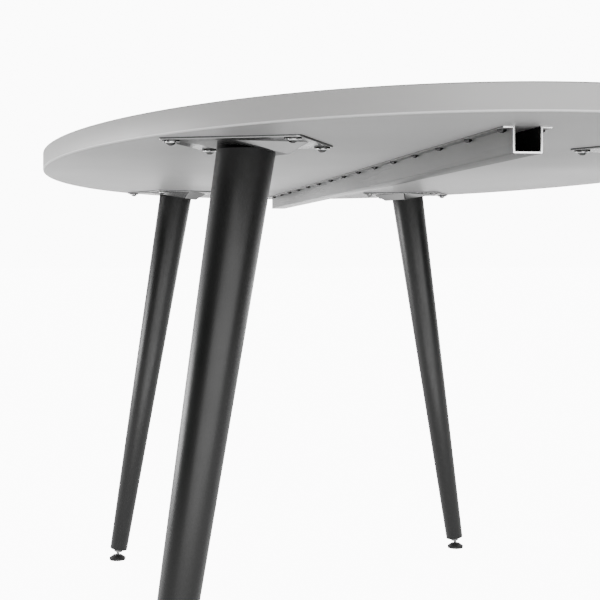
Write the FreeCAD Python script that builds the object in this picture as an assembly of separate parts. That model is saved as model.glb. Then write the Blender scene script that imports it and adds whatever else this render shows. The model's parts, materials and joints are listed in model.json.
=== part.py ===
import FreeCAD, Part
import math
import os

V = FreeCAD.Vector

# An oval meeting table, in millimetres. X runs along the table, Z is up, and the origin lies on the
# floor under the middle of the top. "Front" is the -X end and "left" is the +Y side.

# Tabletop: a board with laminate on both faces and a band glued round its rim
TOP_LENGTH = 1850.0
TOP_WIDTH = 925.0
TABLE_HEIGHT = 750.0
CORE_THICKNESS = 23.4
LAMINATE_THICKNESS = 0.8
BAND_THICKNESS = 2.0
BAND_ROUNDING = 1.5

# Stiffener rail: a hat section of bent sheet along the middle of the underside
RAIL_SETBACK = 120.0
RAIL_WIDTH = 27.8
RAIL_HEIGHT = 25.0
RAIL_FLANGE = 9.3
RAIL_SHEET = 1.8
RAIL_BEND = 1.0

# Rail screws: pan heads with a cross recess, one row in each flange
RAIL_SCREW_MARGIN = 18.5
RAIL_SCREW_PITCH = 109.0
RAIL_SCREW_SHANK = 3.5
RAIL_SCREW_BITE = 13.0
RAIL_SCREW_POINT = 3.0
RAIL_HEAD_DIAMETER = 8.6
RAIL_HEAD_HEIGHT = 3.3
RAIL_HEAD_RIM = 1.2
CROSS_LENGTH = 4.6
CROSS_WIDTH = 1.0
CROSS_DEPTH = 1.4

# Legs: tapered round tubes, splayed outwards and towards the ends
LEG_END_SETBACK = 328.4
LEG_TILT = 9.66
LEG_AZIMUTH = 22.0
LEG_TOP_DIAMETER = 61.8
LEG_BOTTOM_DIAMETER = 33.5
LEG_WALL = 2.0
TOP_DISC_THICKNESS = 6.0

# Leg brackets: square pressed plates with a tilted seat, one corner towards the rim
PLATE_SIDE = 148.0
PLATE_CORNER = 5.5
PLATE_RIM_MARGIN = 9.7
PLATE_SHEET = 2.3
AXIS_OFFSET = 1.85
SEAT_LIP = 0.9
SEAT_SIDE_LIP = 3.3
SEAT_HEADROOM = 1.6
WALL_ANGLE = 40.0
BEND_RADIUS = 4.6

# Bracket fasteners: button-head screws with washers, in threaded inserts in the board
SCREW_SQUARE = 126.7
SCREW_THREAD = 6.0
SCREW_GRIP = 11.0
SCREW_HEAD_DIAMETER = 11.0
SCREW_HEAD_HEIGHT = 4.0
SCREW_HEAD_RIM = 0.8
SOCKET_FLATS = 4.0
SOCKET_DEPTH = 2.2
WASHER_DIAMETER = 17.6
WASHER_THICKNESS = 1.6
INSERT_DIAMETER = 10.0
INSERT_LENGTH = 15.0
HOLE_END_ROOM = 1.0
CLEARANCE_HOLE = 0.5

# Leg fixing: a stud in the leg's top disc, screwed into a thin nut welded on the seat
STUD_DIAMETER = 8.0
STUD_PROUD = 1.0
NUT_FLATS = 13.0
NUT_THICKNESS = 3.5

# Levelling feet: a threaded stem with a ball end, in a pad that stays flat on the floor
SOLE_THICKNESS = 2.0
SOLE_INSET = 0.5
PAD_DIAMETER = 32.0
PAD_RIM = 3.0
PAD_NECK_DIAMETER = 17.0
PAD_TOP_ABOVE_BALL = 2.0
SOCKET_FLOOR = 1.5
BALL_DIAMETER = 9.0
STEM_NECK_DIAMETER = 6.0
STEM_NECK_LENGTH = 8.0
STEM_HEX_FLATS = 14.0
STEM_HEX_LENGTH = 6.0
STEM_THREAD = 8.0
STEM_THREAD_LENGTH = 42.0
PLUG_FLANGE = 3.0
PLUG_LENGTH = 28.0

# Fits
FIT = 0.05
BALL_FIT = 0.08

# Places that follow from the sizes above
TOP_THICKNESS = CORE_THICKNESS + 2 * LAMINATE_THICKNESS
UNDERSIDE = TABLE_HEIGHT - TOP_THICKNESS
CORE_BOTTOM = UNDERSIDE + LAMINATE_THICKNESS
RAIL_LENGTH = TOP_LENGTH - 2 * RAIL_SETBACK
TILT = math.radians(LEG_TILT)
AZIMUTH = math.radians(LEG_AZIMUTH)

# The seat hangs low enough for the nut and the end of the stud to clear the board above them
STUD_REACH = PLATE_SHEET + NUT_THICKNESS + STUD_PROUD
NUT_RADIUS = NUT_FLATS / math.sqrt(3)
STUD_TOP = STUD_REACH * math.cos(TILT) + STUD_DIAMETER / 2 * math.sin(TILT)
NUT_TOP = (PLATE_SHEET + NUT_THICKNESS) * math.cos(TILT) + NUT_RADIUS * math.sin(TILT)
SEAT_DEPTH = max(STUD_TOP, NUT_TOP) + SEAT_HEADROOM
SEAT_POINT = V(AXIS_OFFSET + SEAT_DEPTH * math.tan(TILT), 0, -SEAT_DEPTH)
SEAT_HALF_WIDTH = LEG_TOP_DIAMETER / 2 + SEAT_SIDE_LIP

# Along a leg's axis, measured down from the seat
BALL_HEIGHT = SOLE_THICKNESS + SOCKET_FLOOR + BALL_DIAMETER / 2
BALL_REACH = (UNDERSIDE - SEAT_DEPTH - BALL_HEIGHT) / math.cos(TILT)
STEM_STOP = BALL_REACH - STEM_NECK_LENGTH - STEM_HEX_LENGTH
LEG_LENGTH = STEM_STOP - PLUG_FLANGE

# Leg axes where they meet the underside: each bracket's outer corner stays clear of the rim
PLATE_REACH = PLATE_SIDE / math.sqrt(2)
LEG_X = TOP_LENGTH / 2 - LEG_END_SETBACK
CORNER_X = LEG_X + (PLATE_REACH - AXIS_OFFSET) * math.sin(AZIMUTH)
RIM_Y = TOP_WIDTH / 2 * math.sqrt(1 - (2 * CORNER_X / TOP_LENGTH) ** 2)
LEG_Y = RIM_Y - PLATE_RIM_MARGIN - (PLATE_REACH - AXIS_OFFSET) * math.cos(AZIMUTH)
CORNERS = {
    "front_left": (-1, 1),
    "front_right": (-1, -1),
    "rear_left": (1, 1),
    "rear_right": (1, -1),
}


def cylinder(diameter, bottom, top, x=0.0, y=0.0):
    return Part.makeCylinder(diameter / 2, top - bottom, V(x, y, bottom))


def hexagon(flats, bottom, top):
    radius = flats / math.sqrt(3)
    turns = [math.radians(60 * step) for step in range(7)]
    points = [V(radius * math.cos(turn), radius * math.sin(turn), bottom) for turn in turns]
    return Part.Face(Part.makePolygon(points)).extrude(V(0, 0, top - bottom))


def cone(bottom_radius, top_radius, bottom, top):
    if abs(bottom_radius - top_radius) < 1e-6:
        return Part.makeCylinder(bottom_radius, top - bottom, V(0, 0, bottom))
    return Part.makeCone(bottom_radius, top_radius, top - bottom, V(0, 0, bottom))


def turned(edges):
    """Turn a closed outline in the XZ plane round the Z axis."""
    return Part.Face(Part.Wire(edges)).revolve(V(0, 0, 0), V(0, 0, 1), 360)


def domed_head(diameter, height, rim):
    """A screw head under its seat at z = 0: a short upright rim, then a shallow dome."""
    radius = diameter / 2
    rise = height - rim
    sphere = (radius ** 2 + rise ** 2) / (2 * rise)
    half_turn = math.asin(radius / sphere) / 2
    middle = V(sphere * math.sin(half_turn), 0, sphere - height - sphere * math.cos(half_turn))
    outline = [
        Part.LineSegment(V(0, 0, 0), V(radius, 0, 0)).toShape(),
        Part.LineSegment(V(radius, 0, 0), V(radius, 0, -rim)).toShape(),
        Part.Arc(V(radius, 0, -rim), middle, V(0, 0, -height)).toShape(),
        Part.LineSegment(V(0, 0, -height), V(0, 0, 0)).toShape(),
    ]
    return turned(outline)


def placed(shape, placement):
    copy = shape.copy()
    copy.Placement = placement.multiply(copy.Placement)
    return copy


def moved(shape, x, y, z):
    return placed(shape, FreeCAD.Placement(V(x, y, z), FreeCAD.Rotation()))


# Places of the repeated pieces


def corner_place(corner):
    """Bracket frame: middle of the plate on the underside, x outwards along the leg's splay."""
    side_x, side_y = CORNERS[corner]
    out_x = side_x * math.sin(AZIMUTH)
    out_y = side_y * math.cos(AZIMUTH)
    middle = V(side_x * LEG_X - AXIS_OFFSET * out_x, side_y * LEG_Y - AXIS_OFFSET * out_y, UNDERSIDE)
    turn = FreeCAD.Rotation(V(0, 0, 1), math.degrees(math.atan2(out_y, out_x)))
    return FreeCAD.Placement(middle, turn)


def leg_place(corner):
    """Leg frame: where the axis meets the seat, z up along the axis."""
    tilted = FreeCAD.Placement(SEAT_POINT, FreeCAD.Rotation(V(0, 1, 0), -LEG_TILT))
    return corner_place(corner).multiply(tilted)


def ball_point(corner):
    return leg_place(corner).multVec(V(0, 0, -BALL_REACH))


def rail_screw_points():
    run = RAIL_LENGTH - 2 * RAIL_SCREW_MARGIN
    count = int(run / RAIL_SCREW_PITCH) + 1
    row = RAIL_WIDTH / 2 + RAIL_FLANGE / 2
    first = RAIL_SCREW_MARGIN - RAIL_LENGTH / 2
    return [(first + step * RAIL_SCREW_PITCH, side * row) for side in (-1, 1) for step in range(count)]


def plate_screw_points():
    reach = SCREW_SQUARE / math.sqrt(2)
    return [(reach, 0), (0, reach), (-reach, 0), (0, -reach)]


def bracket_screw_points():
    points = []
    for corner in CORNERS:
        place = corner_place(corner)
        points += [place.multVec(V(x, y, 0)) for x, y in plate_screw_points()]
    return points


# Tabletop


def oval(length, width, bottom, top):
    rim = Part.Ellipse(V(0, 0, bottom), length / 2, width / 2).toShape()
    return Part.Face(Part.Wire(rim)).extrude(V(0, 0, top - bottom))


def board_oval(bottom, top):
    return oval(TOP_LENGTH - 2 * BAND_THICKNESS, TOP_WIDTH - 2 * BAND_THICKNESS, bottom, top)


def board_holes():
    """Pilot holes for the rail screws and seats for the threaded inserts, from below."""
    pilot_top = UNDERSIDE + RAIL_SCREW_BITE + HOLE_END_ROOM
    pilots = [
        cylinder(RAIL_SCREW_SHANK + 2 * FIT, UNDERSIDE - 1, pilot_top, x, y)
        for x, y in rail_screw_points()
    ]
    insert_top = UNDERSIDE + INSERT_LENGTH + HOLE_END_ROOM
    seats = [
        cylinder(INSERT_DIAMETER + 2 * FIT, UNDERSIDE - 1, insert_top, point.x, point.y)
        for point in bracket_screw_points()
    ]
    return Part.makeCompound(pilots + seats)


def tabletop_core():
    return board_oval(CORE_BOTTOM, CORE_BOTTOM + CORE_THICKNESS).cut(board_holes())


def lower_laminate():
    return board_oval(UNDERSIDE, CORE_BOTTOM).cut(board_holes())


def upper_laminate():
    return board_oval(TABLE_HEIGHT - LAMINATE_THICKNESS, TABLE_HEIGHT)


def edge_band():
    outer = oval(TOP_LENGTH, TOP_WIDTH, UNDERSIDE, TABLE_HEIGHT)
    rims = [edge for edge in outer.Edges if isinstance(edge.Curve, Part.Ellipse)]
    rounded = outer.makeFillet(BAND_ROUNDING, rims)
    return rounded.cut(board_oval(UNDERSIDE - 1, TABLE_HEIGHT + 1))


# Stiffener rail


def stiffener_rail():
    wall = RAIL_WIDTH / 2
    inside = wall - RAIL_SHEET
    reach = wall + RAIL_FLANGE
    half = [
        (reach, 0),
        (reach, -RAIL_SHEET),
        (wall, -RAIL_SHEET),
        (wall, -RAIL_HEIGHT),
    ]
    inner = [
        (-inside, 0),
        (-inside, RAIL_SHEET - RAIL_HEIGHT),
        (inside, RAIL_SHEET - RAIL_HEIGHT),
        (inside, 0),
    ]
    outline = half + [(-y, z) for y, z in reversed(half)] + inner
    start = -RAIL_LENGTH / 2
    points = [V(start, y, UNDERSIDE + z) for y, z in outline]
    section = Part.Face(Part.makePolygon(points + points[:1]))
    rail = section.extrude(V(RAIL_LENGTH, 0, 0))
    bottom = UNDERSIDE - RAIL_HEIGHT
    folds = [
        edge
        for edge in rail.Edges
        if abs(edge.BoundBox.XLength - RAIL_LENGTH) < 1e-6
        and abs(edge.CenterOfMass.z - bottom) < 1e-6
    ]
    rail = rail.makeFillet(RAIL_BEND, folds)
    holes = [
        cylinder(RAIL_SCREW_SHANK + CLEARANCE_HOLE, UNDERSIDE - 2 * RAIL_SHEET, UNDERSIDE + 1, x, y)
        for x, y in rail_screw_points()
    ]
    return rail.cut(Part.makeCompound(holes))


def rail_screw():
    """A pan-head screw with its seat at z = 0 and its point upwards."""
    straight = RAIL_SHEET + RAIL_SCREW_BITE - RAIL_SCREW_POINT
    shank = cylinder(RAIL_SCREW_SHANK, 0, straight)
    point = cone(RAIL_SCREW_SHANK / 2, RAIL_SCREW_SHANK / 8, straight, straight + RAIL_SCREW_POINT)
    screw = domed_head(RAIL_HEAD_DIAMETER, RAIL_HEAD_HEIGHT, RAIL_HEAD_RIM).fuse([shank, point])
    for length, width in ((CROSS_LENGTH, CROSS_WIDTH), (CROSS_WIDTH, CROSS_LENGTH)):
        corner = V(-length / 2, -width / 2, -RAIL_HEAD_HEIGHT - 1)
        screw = screw.cut(Part.makeBox(length, width, CROSS_DEPTH + 1, corner))
    return screw.removeSplitter()


def rail_screws():
    seat = UNDERSIDE - RAIL_SHEET
    screw = rail_screw()
    return Part.makeCompound([moved(screw, x, y, seat) for x, y in rail_screw_points()])


# Leg brackets, in the bracket frame


def meeting_point(planes):
    """The point that three planes share; a plane is a point on it and its outward normal."""
    (p1, n1), (p2, n2), (p3, n3) = planes
    total = n2.cross(n3) * p1.dot(n1) + n3.cross(n1) * p2.dot(n2) + n1.cross(n2) * p3.dot(n3)
    return total / n1.dot(n2.cross(n3))


def pressed_wedge(inset, radius):
    """The hipped wedge pressed out of a plate, upside down: seat, ramp and two side walls.

    Its top lies well above the plate, so that the rounded folds run out through the plate.
    """
    slope = math.radians(WALL_ANGLE)
    low_x = SEAT_POINT.x - LEG_TOP_DIAMETER / 2 * math.cos(TILT) - SEAT_LIP
    low_z = SEAT_POINT.z + (low_x - SEAT_POINT.x) * math.tan(TILT)
    along_seat = V(math.cos(TILT), 0, math.sin(TILT))
    up_left_wall = V(0, math.cos(slope), math.sin(slope))
    up_right_wall = V(0, -math.cos(slope), math.sin(slope))
    normals = [
        V(math.sin(TILT), 0, -math.cos(TILT)),
        V(-math.sin(slope), 0, -math.cos(slope)),
        up_left_wall.cross(along_seat),
        along_seat.cross(up_right_wall),
    ]
    marks = [
        SEAT_POINT,
        V(low_x, 0, low_z),
        V(low_x, SEAT_HALF_WIDTH, low_z),
        V(low_x, -SEAT_HALF_WIDTH, low_z),
    ]
    planes = []
    for mark, normal in zip(marks, normals):
        outward = normal.normalize()
        planes.append((mark - outward * inset, outward))
    seat, ramp, left, right = planes
    top = (V(0, 0, 2 * BEND_RADIUS), V(0, 0, 1))
    low_left = meeting_point([seat, ramp, left])
    low_right = meeting_point([seat, ramp, right])
    ramp_left = meeting_point([ramp, left, top])
    ramp_right = meeting_point([ramp, right, top])
    seat_left = meeting_point([seat, left, top])
    seat_right = meeting_point([seat, right, top])
    outlines = [
        [seat_right, low_right, low_left, seat_left],
        [low_right, ramp_right, ramp_left, low_left],
        [low_left, ramp_left, seat_left],
        [ramp_right, low_right, seat_right],
        [ramp_left, ramp_right, seat_right, seat_left],
    ]
    faces = [Part.Face(Part.makePolygon(points + points[:1])) for points in outlines]
    wedge = Part.Solid(Part.Shell(faces))
    folds = [edge for edge in wedge.Edges if edge.CenterOfMass.z < top[0].z - 1e-6]
    return wedge.makeFillet(radius, folds)


def leg_bracket():
    side = PLATE_SIDE
    plate = Part.makeBox(side, side, PLATE_SHEET, V(-side / 2, -side / 2, -PLATE_SHEET))
    uprights = [edge for edge in plate.Edges if abs(edge.BoundBox.ZLength - PLATE_SHEET) < 1e-6]
    plate = plate.makeFillet(PLATE_CORNER, uprights)
    plate.rotate(V(0, 0, 0), V(0, 0, 1), 45)
    below = Part.makeBox(2 * side, 2 * side, side, V(-side, -side, -side))
    outer = pressed_wedge(0.0, BEND_RADIUS).common(below)
    hollow = pressed_wedge(PLATE_SHEET, BEND_RADIUS - PLATE_SHEET)
    bracket = plate.fuse(outer).removeSplitter().cut(hollow)
    hole = SCREW_THREAD + CLEARANCE_HOLE
    holes = [cylinder(hole, -2 * PLATE_SHEET, 1, x, y) for x, y in plate_screw_points()]
    stud_hole = cylinder(STUD_DIAMETER + CLEARANCE_HOLE, -PLATE_SHEET, 2 * PLATE_SHEET)
    tilted = FreeCAD.Placement(SEAT_POINT, FreeCAD.Rotation(V(0, 1, 0), -LEG_TILT))
    holes.append(placed(stud_hole, tilted))
    return bracket.cut(Part.makeCompound(holes))


def bracket_screw():
    """A button-head screw with its seat at z = 0 under the washer and its thread upwards."""
    length = WASHER_THICKNESS + PLATE_SHEET + SCREW_GRIP
    head = domed_head(SCREW_HEAD_DIAMETER, SCREW_HEAD_HEIGHT, SCREW_HEAD_RIM)
    screw = head.fuse(cylinder(SCREW_THREAD, 0, length))
    socket = hexagon(SOCKET_FLATS, -SCREW_HEAD_HEIGHT - 1, SOCKET_DEPTH - SCREW_HEAD_HEIGHT)
    return screw.cut(socket).removeSplitter()


def bracket_screws():
    seat = UNDERSIDE - PLATE_SHEET - WASHER_THICKNESS
    screw = bracket_screw()
    return Part.makeCompound([moved(screw, point.x, point.y, seat) for point in bracket_screw_points()])


def bracket_washers():
    bottom = UNDERSIDE - PLATE_SHEET - WASHER_THICKNESS
    ring = cylinder(WASHER_DIAMETER, bottom, bottom + WASHER_THICKNESS)
    ring = ring.cut(cylinder(SCREW_THREAD + CLEARANCE_HOLE, bottom - 1, bottom + WASHER_THICKNESS + 1))
    return Part.makeCompound([moved(ring, point.x, point.y, 0) for point in bracket_screw_points()])


def board_inserts():
    insert = cylinder(INSERT_DIAMETER, UNDERSIDE, UNDERSIDE + INSERT_LENGTH)
    insert = insert.cut(cylinder(SCREW_THREAD + 2 * FIT, UNDERSIDE - 1, UNDERSIDE + INSERT_LENGTH + 1))
    return Part.makeCompound([moved(insert, point.x, point.y, 0) for point in bracket_screw_points()])


# Legs, in the leg frame


def leg_radius(down):
    """Outer radius of the tube at a distance down from the seat."""
    shrink = (LEG_TOP_DIAMETER - LEG_BOTTOM_DIAMETER) / 2
    return LEG_TOP_DIAMETER / 2 - shrink * down / LEG_LENGTH


def bore_radius(down):
    return leg_radius(down) - LEG_WALL


def leg_tube():
    tube = cone(leg_radius(LEG_LENGTH), leg_radius(0), -LEG_LENGTH, 0)
    over = 1.0
    bore = cone(bore_radius(LEG_LENGTH + over), bore_radius(-over), -LEG_LENGTH - over, over)
    return tube.cut(bore)


def leg_top_disc():
    disc = cone(bore_radius(TOP_DISC_THICKNESS) - FIT, bore_radius(0) - FIT, -TOP_DISC_THICKNESS, 0)
    return disc.cut(cylinder(STUD_DIAMETER + 2 * FIT, -TOP_DISC_THICKNESS - 1, 1))


def leg_stud():
    return cylinder(STUD_DIAMETER, -TOP_DISC_THICKNESS, STUD_REACH)


def leg_nut():
    nut = hexagon(NUT_FLATS, PLATE_SHEET, PLATE_SHEET + NUT_THICKNESS)
    return nut.cut(cylinder(STUD_DIAMETER + 2 * FIT, 0, STUD_REACH + 1))


def leg_plug():
    """The plug in the tube's lower end, with a flange under the tube and a threaded bore."""
    flange = cylinder(LEG_BOTTOM_DIAMETER, -STEM_STOP, -LEG_LENGTH)
    body_top = LEG_LENGTH - PLUG_LENGTH
    body = cone(bore_radius(LEG_LENGTH) - FIT, bore_radius(body_top) - FIT, -LEG_LENGTH, -body_top)
    bore = cylinder(STEM_THREAD + 2 * FIT, -STEM_STOP - 1, 1 - body_top)
    return flange.fuse(body).cut(bore).removeSplitter()


def foot_stem():
    """Ball, neck, hexagon and thread; the hexagon stops against the plug."""
    ball = Part.makeSphere(BALL_DIAMETER / 2, V(0, 0, -BALL_REACH))
    hex_bottom = STEM_NECK_LENGTH - BALL_REACH
    neck = cylinder(STEM_NECK_DIAMETER, -BALL_REACH, hex_bottom)
    grip = hexagon(STEM_HEX_FLATS, hex_bottom, -STEM_STOP)
    thread = cylinder(STEM_THREAD, -STEM_STOP, STEM_THREAD_LENGTH - STEM_STOP)
    return ball.fuse([neck, grip, thread]).removeSplitter()


# Foot pads, upright on the floor under the ball


def foot_pad():
    top = BALL_HEIGHT + PAD_TOP_ABOVE_BALL
    rim = PAD_DIAMETER / 2
    neck = PAD_NECK_DIAMETER / 2
    outline = [
        V(0, 0, SOLE_THICKNESS),
        V(rim, 0, SOLE_THICKNESS),
        V(rim, 0, SOLE_THICKNESS + PAD_RIM),
        V(neck, 0, top),
        V(0, 0, top),
    ]
    sides = [Part.LineSegment(a, b).toShape() for a, b in zip(outline, outline[1:] + outline[:1])]
    socket = Part.makeSphere(BALL_DIAMETER / 2 + BALL_FIT, V(0, 0, BALL_HEIGHT))
    return turned(sides).cut(socket)


def foot_sole():
    return cylinder(PAD_DIAMETER - 2 * SOLE_INSET, 0, SOLE_THICKNESS)


def export(name, shape):
    for solid in shape.Solids:
        if not solid.isValid():
            raise ValueError("invalid solid in " + name)
    shape.exportStep(os.path.join("parts", name + ".step"))
    print(name, len(shape.Solids), "solids", round(shape.Volume), "mm3")


def main():
    os.makedirs("parts", exist_ok=True)
    shared = [
        tabletop_core,
        upper_laminate,
        lower_laminate,
        edge_band,
        stiffener_rail,
        rail_screws,
        bracket_screws,
        bracket_washers,
        board_inserts,
    ]
    for make in shared:
        export(make.__name__, make())
    on_legs = [leg_tube, leg_top_disc, leg_stud, leg_nut, leg_plug, foot_stem]
    on_floor = [foot_pad, foot_sole]
    bracket = leg_bracket()
    for corner in CORNERS:
        export("leg_bracket_" + corner, placed(bracket, corner_place(corner)))
        for make in on_legs:
            export(make.__name__ + "_" + corner, placed(make(), leg_place(corner)))
        ball = ball_point(corner)
        for make in on_floor:
            export(make.__name__ + "_" + corner, moved(make(), ball.x, ball.y, 0))
    print("leg axis at the underside", round(LEG_X, 2), round(LEG_Y, 2), "seat depth", round(SEAT_DEPTH, 2))
    print("rail length", RAIL_LENGTH, "leg length", round(LEG_LENGTH, 1))


main()
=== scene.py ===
# %% [markdown]
# # An oval meeting table, dressed around its measured frame
#
# The frame holds every piece of the table at its real size, in metres. It is a set of plain
# triangle meshes, which are right in size but coarse where a large piece is round. This lesson
# models the pieces that show once more, finer, and gives each its finish.

# %% Load the frame
import json
import math

import bmesh
import bpy
import numpy as np
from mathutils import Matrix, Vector

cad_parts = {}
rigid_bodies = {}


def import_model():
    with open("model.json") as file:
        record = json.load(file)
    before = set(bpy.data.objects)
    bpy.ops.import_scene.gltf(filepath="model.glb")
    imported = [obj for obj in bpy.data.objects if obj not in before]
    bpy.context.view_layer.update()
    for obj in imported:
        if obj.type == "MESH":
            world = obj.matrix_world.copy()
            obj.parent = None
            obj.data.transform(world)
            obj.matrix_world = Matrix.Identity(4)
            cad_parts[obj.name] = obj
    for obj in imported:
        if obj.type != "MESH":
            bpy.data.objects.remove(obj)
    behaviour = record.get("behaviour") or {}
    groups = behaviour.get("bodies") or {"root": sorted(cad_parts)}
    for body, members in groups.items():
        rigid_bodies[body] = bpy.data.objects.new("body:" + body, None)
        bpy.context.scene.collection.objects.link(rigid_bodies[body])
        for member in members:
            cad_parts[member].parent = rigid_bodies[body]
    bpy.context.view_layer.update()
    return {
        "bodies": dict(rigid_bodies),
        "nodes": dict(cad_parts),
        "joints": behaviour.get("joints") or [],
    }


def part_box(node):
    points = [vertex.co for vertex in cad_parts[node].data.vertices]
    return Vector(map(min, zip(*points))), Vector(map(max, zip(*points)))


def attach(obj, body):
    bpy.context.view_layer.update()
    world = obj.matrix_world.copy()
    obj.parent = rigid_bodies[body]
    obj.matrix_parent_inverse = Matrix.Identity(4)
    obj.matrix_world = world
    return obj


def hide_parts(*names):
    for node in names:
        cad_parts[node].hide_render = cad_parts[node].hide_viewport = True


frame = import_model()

joints = {joint["name"]: joint for joint in frame["joints"]}
CORNERS = [name.removeprefix("foot_") for name in frame["bodies"] if name.startswith("foot_")]
print("frame loaded with", len(frame["nodes"]), "nodes; corners:", ", ".join(CORNERS))

# %% [markdown]
# ## Camera
#
# The photo was taken from below the edge of the top, with a level camera. A level camera keeps
# upright lines upright, and a shifted lens then moves the picture up and down without tilting it.
# The eye, the gaze and the focal length were worked out from the rim, the rail and the legs.

# %% Place the camera
PICTURE_SIDE = 600
FOCAL_PIXELS = 1288.07
LEVEL_PIXEL = (288.66, 249.45)
SENSOR_WIDTH = 36.0
EYE = Vector((-1.9269, 0.3875, 0.6130))
GAZE = Vector((0.989, -0.1483, 0.0)).normalized()

bpy.ops.object.select_all(action="DESELECT")
bpy.ops.object.camera_add(location=EYE, rotation=GAZE.to_track_quat("-Z", "Y").to_euler())
camera = bpy.context.object
camera.name = "photo_camera"
camera.data.sensor_width = SENSOR_WIDTH
camera.data.lens = FOCAL_PIXELS * SENSOR_WIDTH / PICTURE_SIDE
camera.data.shift_x = 0.5 - LEVEL_PIXEL[0] / PICTURE_SIDE
camera.data.shift_y = LEVEL_PIXEL[1] / PICTURE_SIDE - 0.5
bpy.context.scene.camera = camera
print("camera lens", round(camera.data.lens, 2), "mm")

# %% [markdown]
# ## Room
#
# The table stands in a white room. The room is bright behind the table and overhead and dark
# behind the camera, so that shiny and black surfaces get dark bands beside their bright ones. A
# picture of a room could light it too, but a plain fade from dark to bright is easier to steer.
#
# The paper behind the table is whiter to the eye than the light that it throws on the table, so the
# room has one brightness for the camera and another for everything else.

# %% Light the room
UP = (0.0, 0.0, 1.0)
WHITE = (1.0, 1.0, 1.0, 1.0)
DARK_END = 0.05
BRIGHT_END = 1.6
CEILING = 0.7
WALL_FADE = (-0.25, 0.95)
CEILING_FADE = (0.3, 0.9)
PAPER_WHITE = 11.0


def ramp(nodes, links, value, start, stop, low, high):
    """A smooth step from one value to another."""
    step = nodes.new("ShaderNodeMapRange")
    step.interpolation_type = "SMOOTHSTEP"
    step.inputs["From Min"].default_value = start
    step.inputs["From Max"].default_value = stop
    step.inputs["To Min"].default_value = low
    step.inputs["To Max"].default_value = high
    links.new(value, step.inputs["Value"])
    return step.outputs["Result"]


def along(nodes, links, vector, way):
    """How far a direction points, or a place lies, one way."""
    dot = nodes.new("ShaderNodeVectorMath")
    dot.operation = "DOT_PRODUCT"
    dot.inputs[1].default_value = way
    links.new(vector, dot.inputs[0])
    return dot.outputs["Value"]


def room_light():
    world = bpy.data.worlds.new("white_room")
    world.use_nodes = True
    nodes = world.node_tree.nodes
    links = world.node_tree.links
    direction = nodes.new("ShaderNodeTexCoord").outputs["Generated"]
    ahead = along(nodes, links, direction, GAZE)
    above = along(nodes, links, direction, UP)
    walls = ramp(nodes, links, ahead, *WALL_FADE, DARK_END, BRIGHT_END)
    ceiling = ramp(nodes, links, above, *CEILING_FADE, 0.0, CEILING)
    total = nodes.new("ShaderNodeMath")
    total.operation = "ADD"
    links.new(walls, total.inputs[0])
    links.new(ceiling, total.inputs[1])
    seen = nodes.new("ShaderNodeMix")
    links.new(nodes.new("ShaderNodeLightPath").outputs["Is Camera Ray"], seen.inputs[0])
    links.new(total.outputs["Value"], seen.inputs[2])
    seen.inputs[3].default_value = PAPER_WHITE
    links.new(seen.outputs[0], nodes["Background"].inputs["Strength"])
    nodes["Background"].inputs["Color"].default_value = WHITE
    bpy.context.scene.world = world


room_light()
print("room light from", DARK_END, "to", BRIGHT_END)

# %% [markdown]
# ## Soft boxes
#
# Four soft boxes light the table. The wide front box, behind the camera, lights the rim and draws
# the broad streak down each leg. The left box, to the left and past the far end of the table, draws
# the bright line down the left edge of each leg. The low strip lifts the front of the rim, and the
# leg strip, close to the floor under the table, lights the rear legs.


# %% Set up the soft boxes
def soft_box(name, place, target, width, height, watts):
    bpy.ops.object.light_add(type="AREA", location=place)
    lamp = bpy.context.object
    lamp.name = name
    lamp.data.shape = "RECTANGLE"
    lamp.data.size = width
    lamp.data.size_y = height
    lamp.data.energy = watts
    aim = Vector(target) - Vector(place)
    lamp.rotation_euler = aim.to_track_quat("-Z", "Y").to_euler()
    print(name, "gives", watts, "W")


soft_box(
    "front_box", place=(-4.4, -0.6, 1.3), target=(-0.4, 0.0, 0.6),
    width=6.6, height=2.8, watts=190.0,
)
soft_box(
    "left_box", place=(1.2, 2.7, 0.62), target=(-0.4, 0.1, 0.62),
    width=1.7, height=0.5, watts=36.0,
)
soft_box(
    "low_strip", place=(-2.9, -0.7, 0.1), target=(-0.4, 0.0, 0.7),
    width=2.4, height=0.2, watts=5.0,
)
soft_box(
    "leg_strip", place=(-0.3, 0.0, 0.06), target=(0.65, 0.0, 0.3),
    width=1.2, height=0.1, watts=3.0,
)

# %% [markdown]
# ## One effect for all finishes
#
# No surface is one flat colour. Broad patches shift its colour and its gloss a little, and a fine
# grain breaks up its reflections. A node group holds that effect once. Each finish sets its own
# two colours, two roughnesses and two pattern sizes, and keeps its shader to itself.

# %% Make the patch-and-grain group
GROUP_INPUTS = [
    ("Vector", "NodeSocketVector"),
    ("Light", "NodeSocketColor"),
    ("Dark", "NodeSocketColor"),
    ("Patch Scale", "NodeSocketFloat"),
    ("Grain Scale", "NodeSocketFloat"),
    ("Smooth", "NodeSocketFloat"),
    ("Rough", "NodeSocketFloat"),
]
GROUP_OUTPUTS = [
    ("Color", "NodeSocketColor"),
    ("Roughness", "NodeSocketFloat"),
    ("Grain", "NodeSocketFloat"),
]


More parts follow.
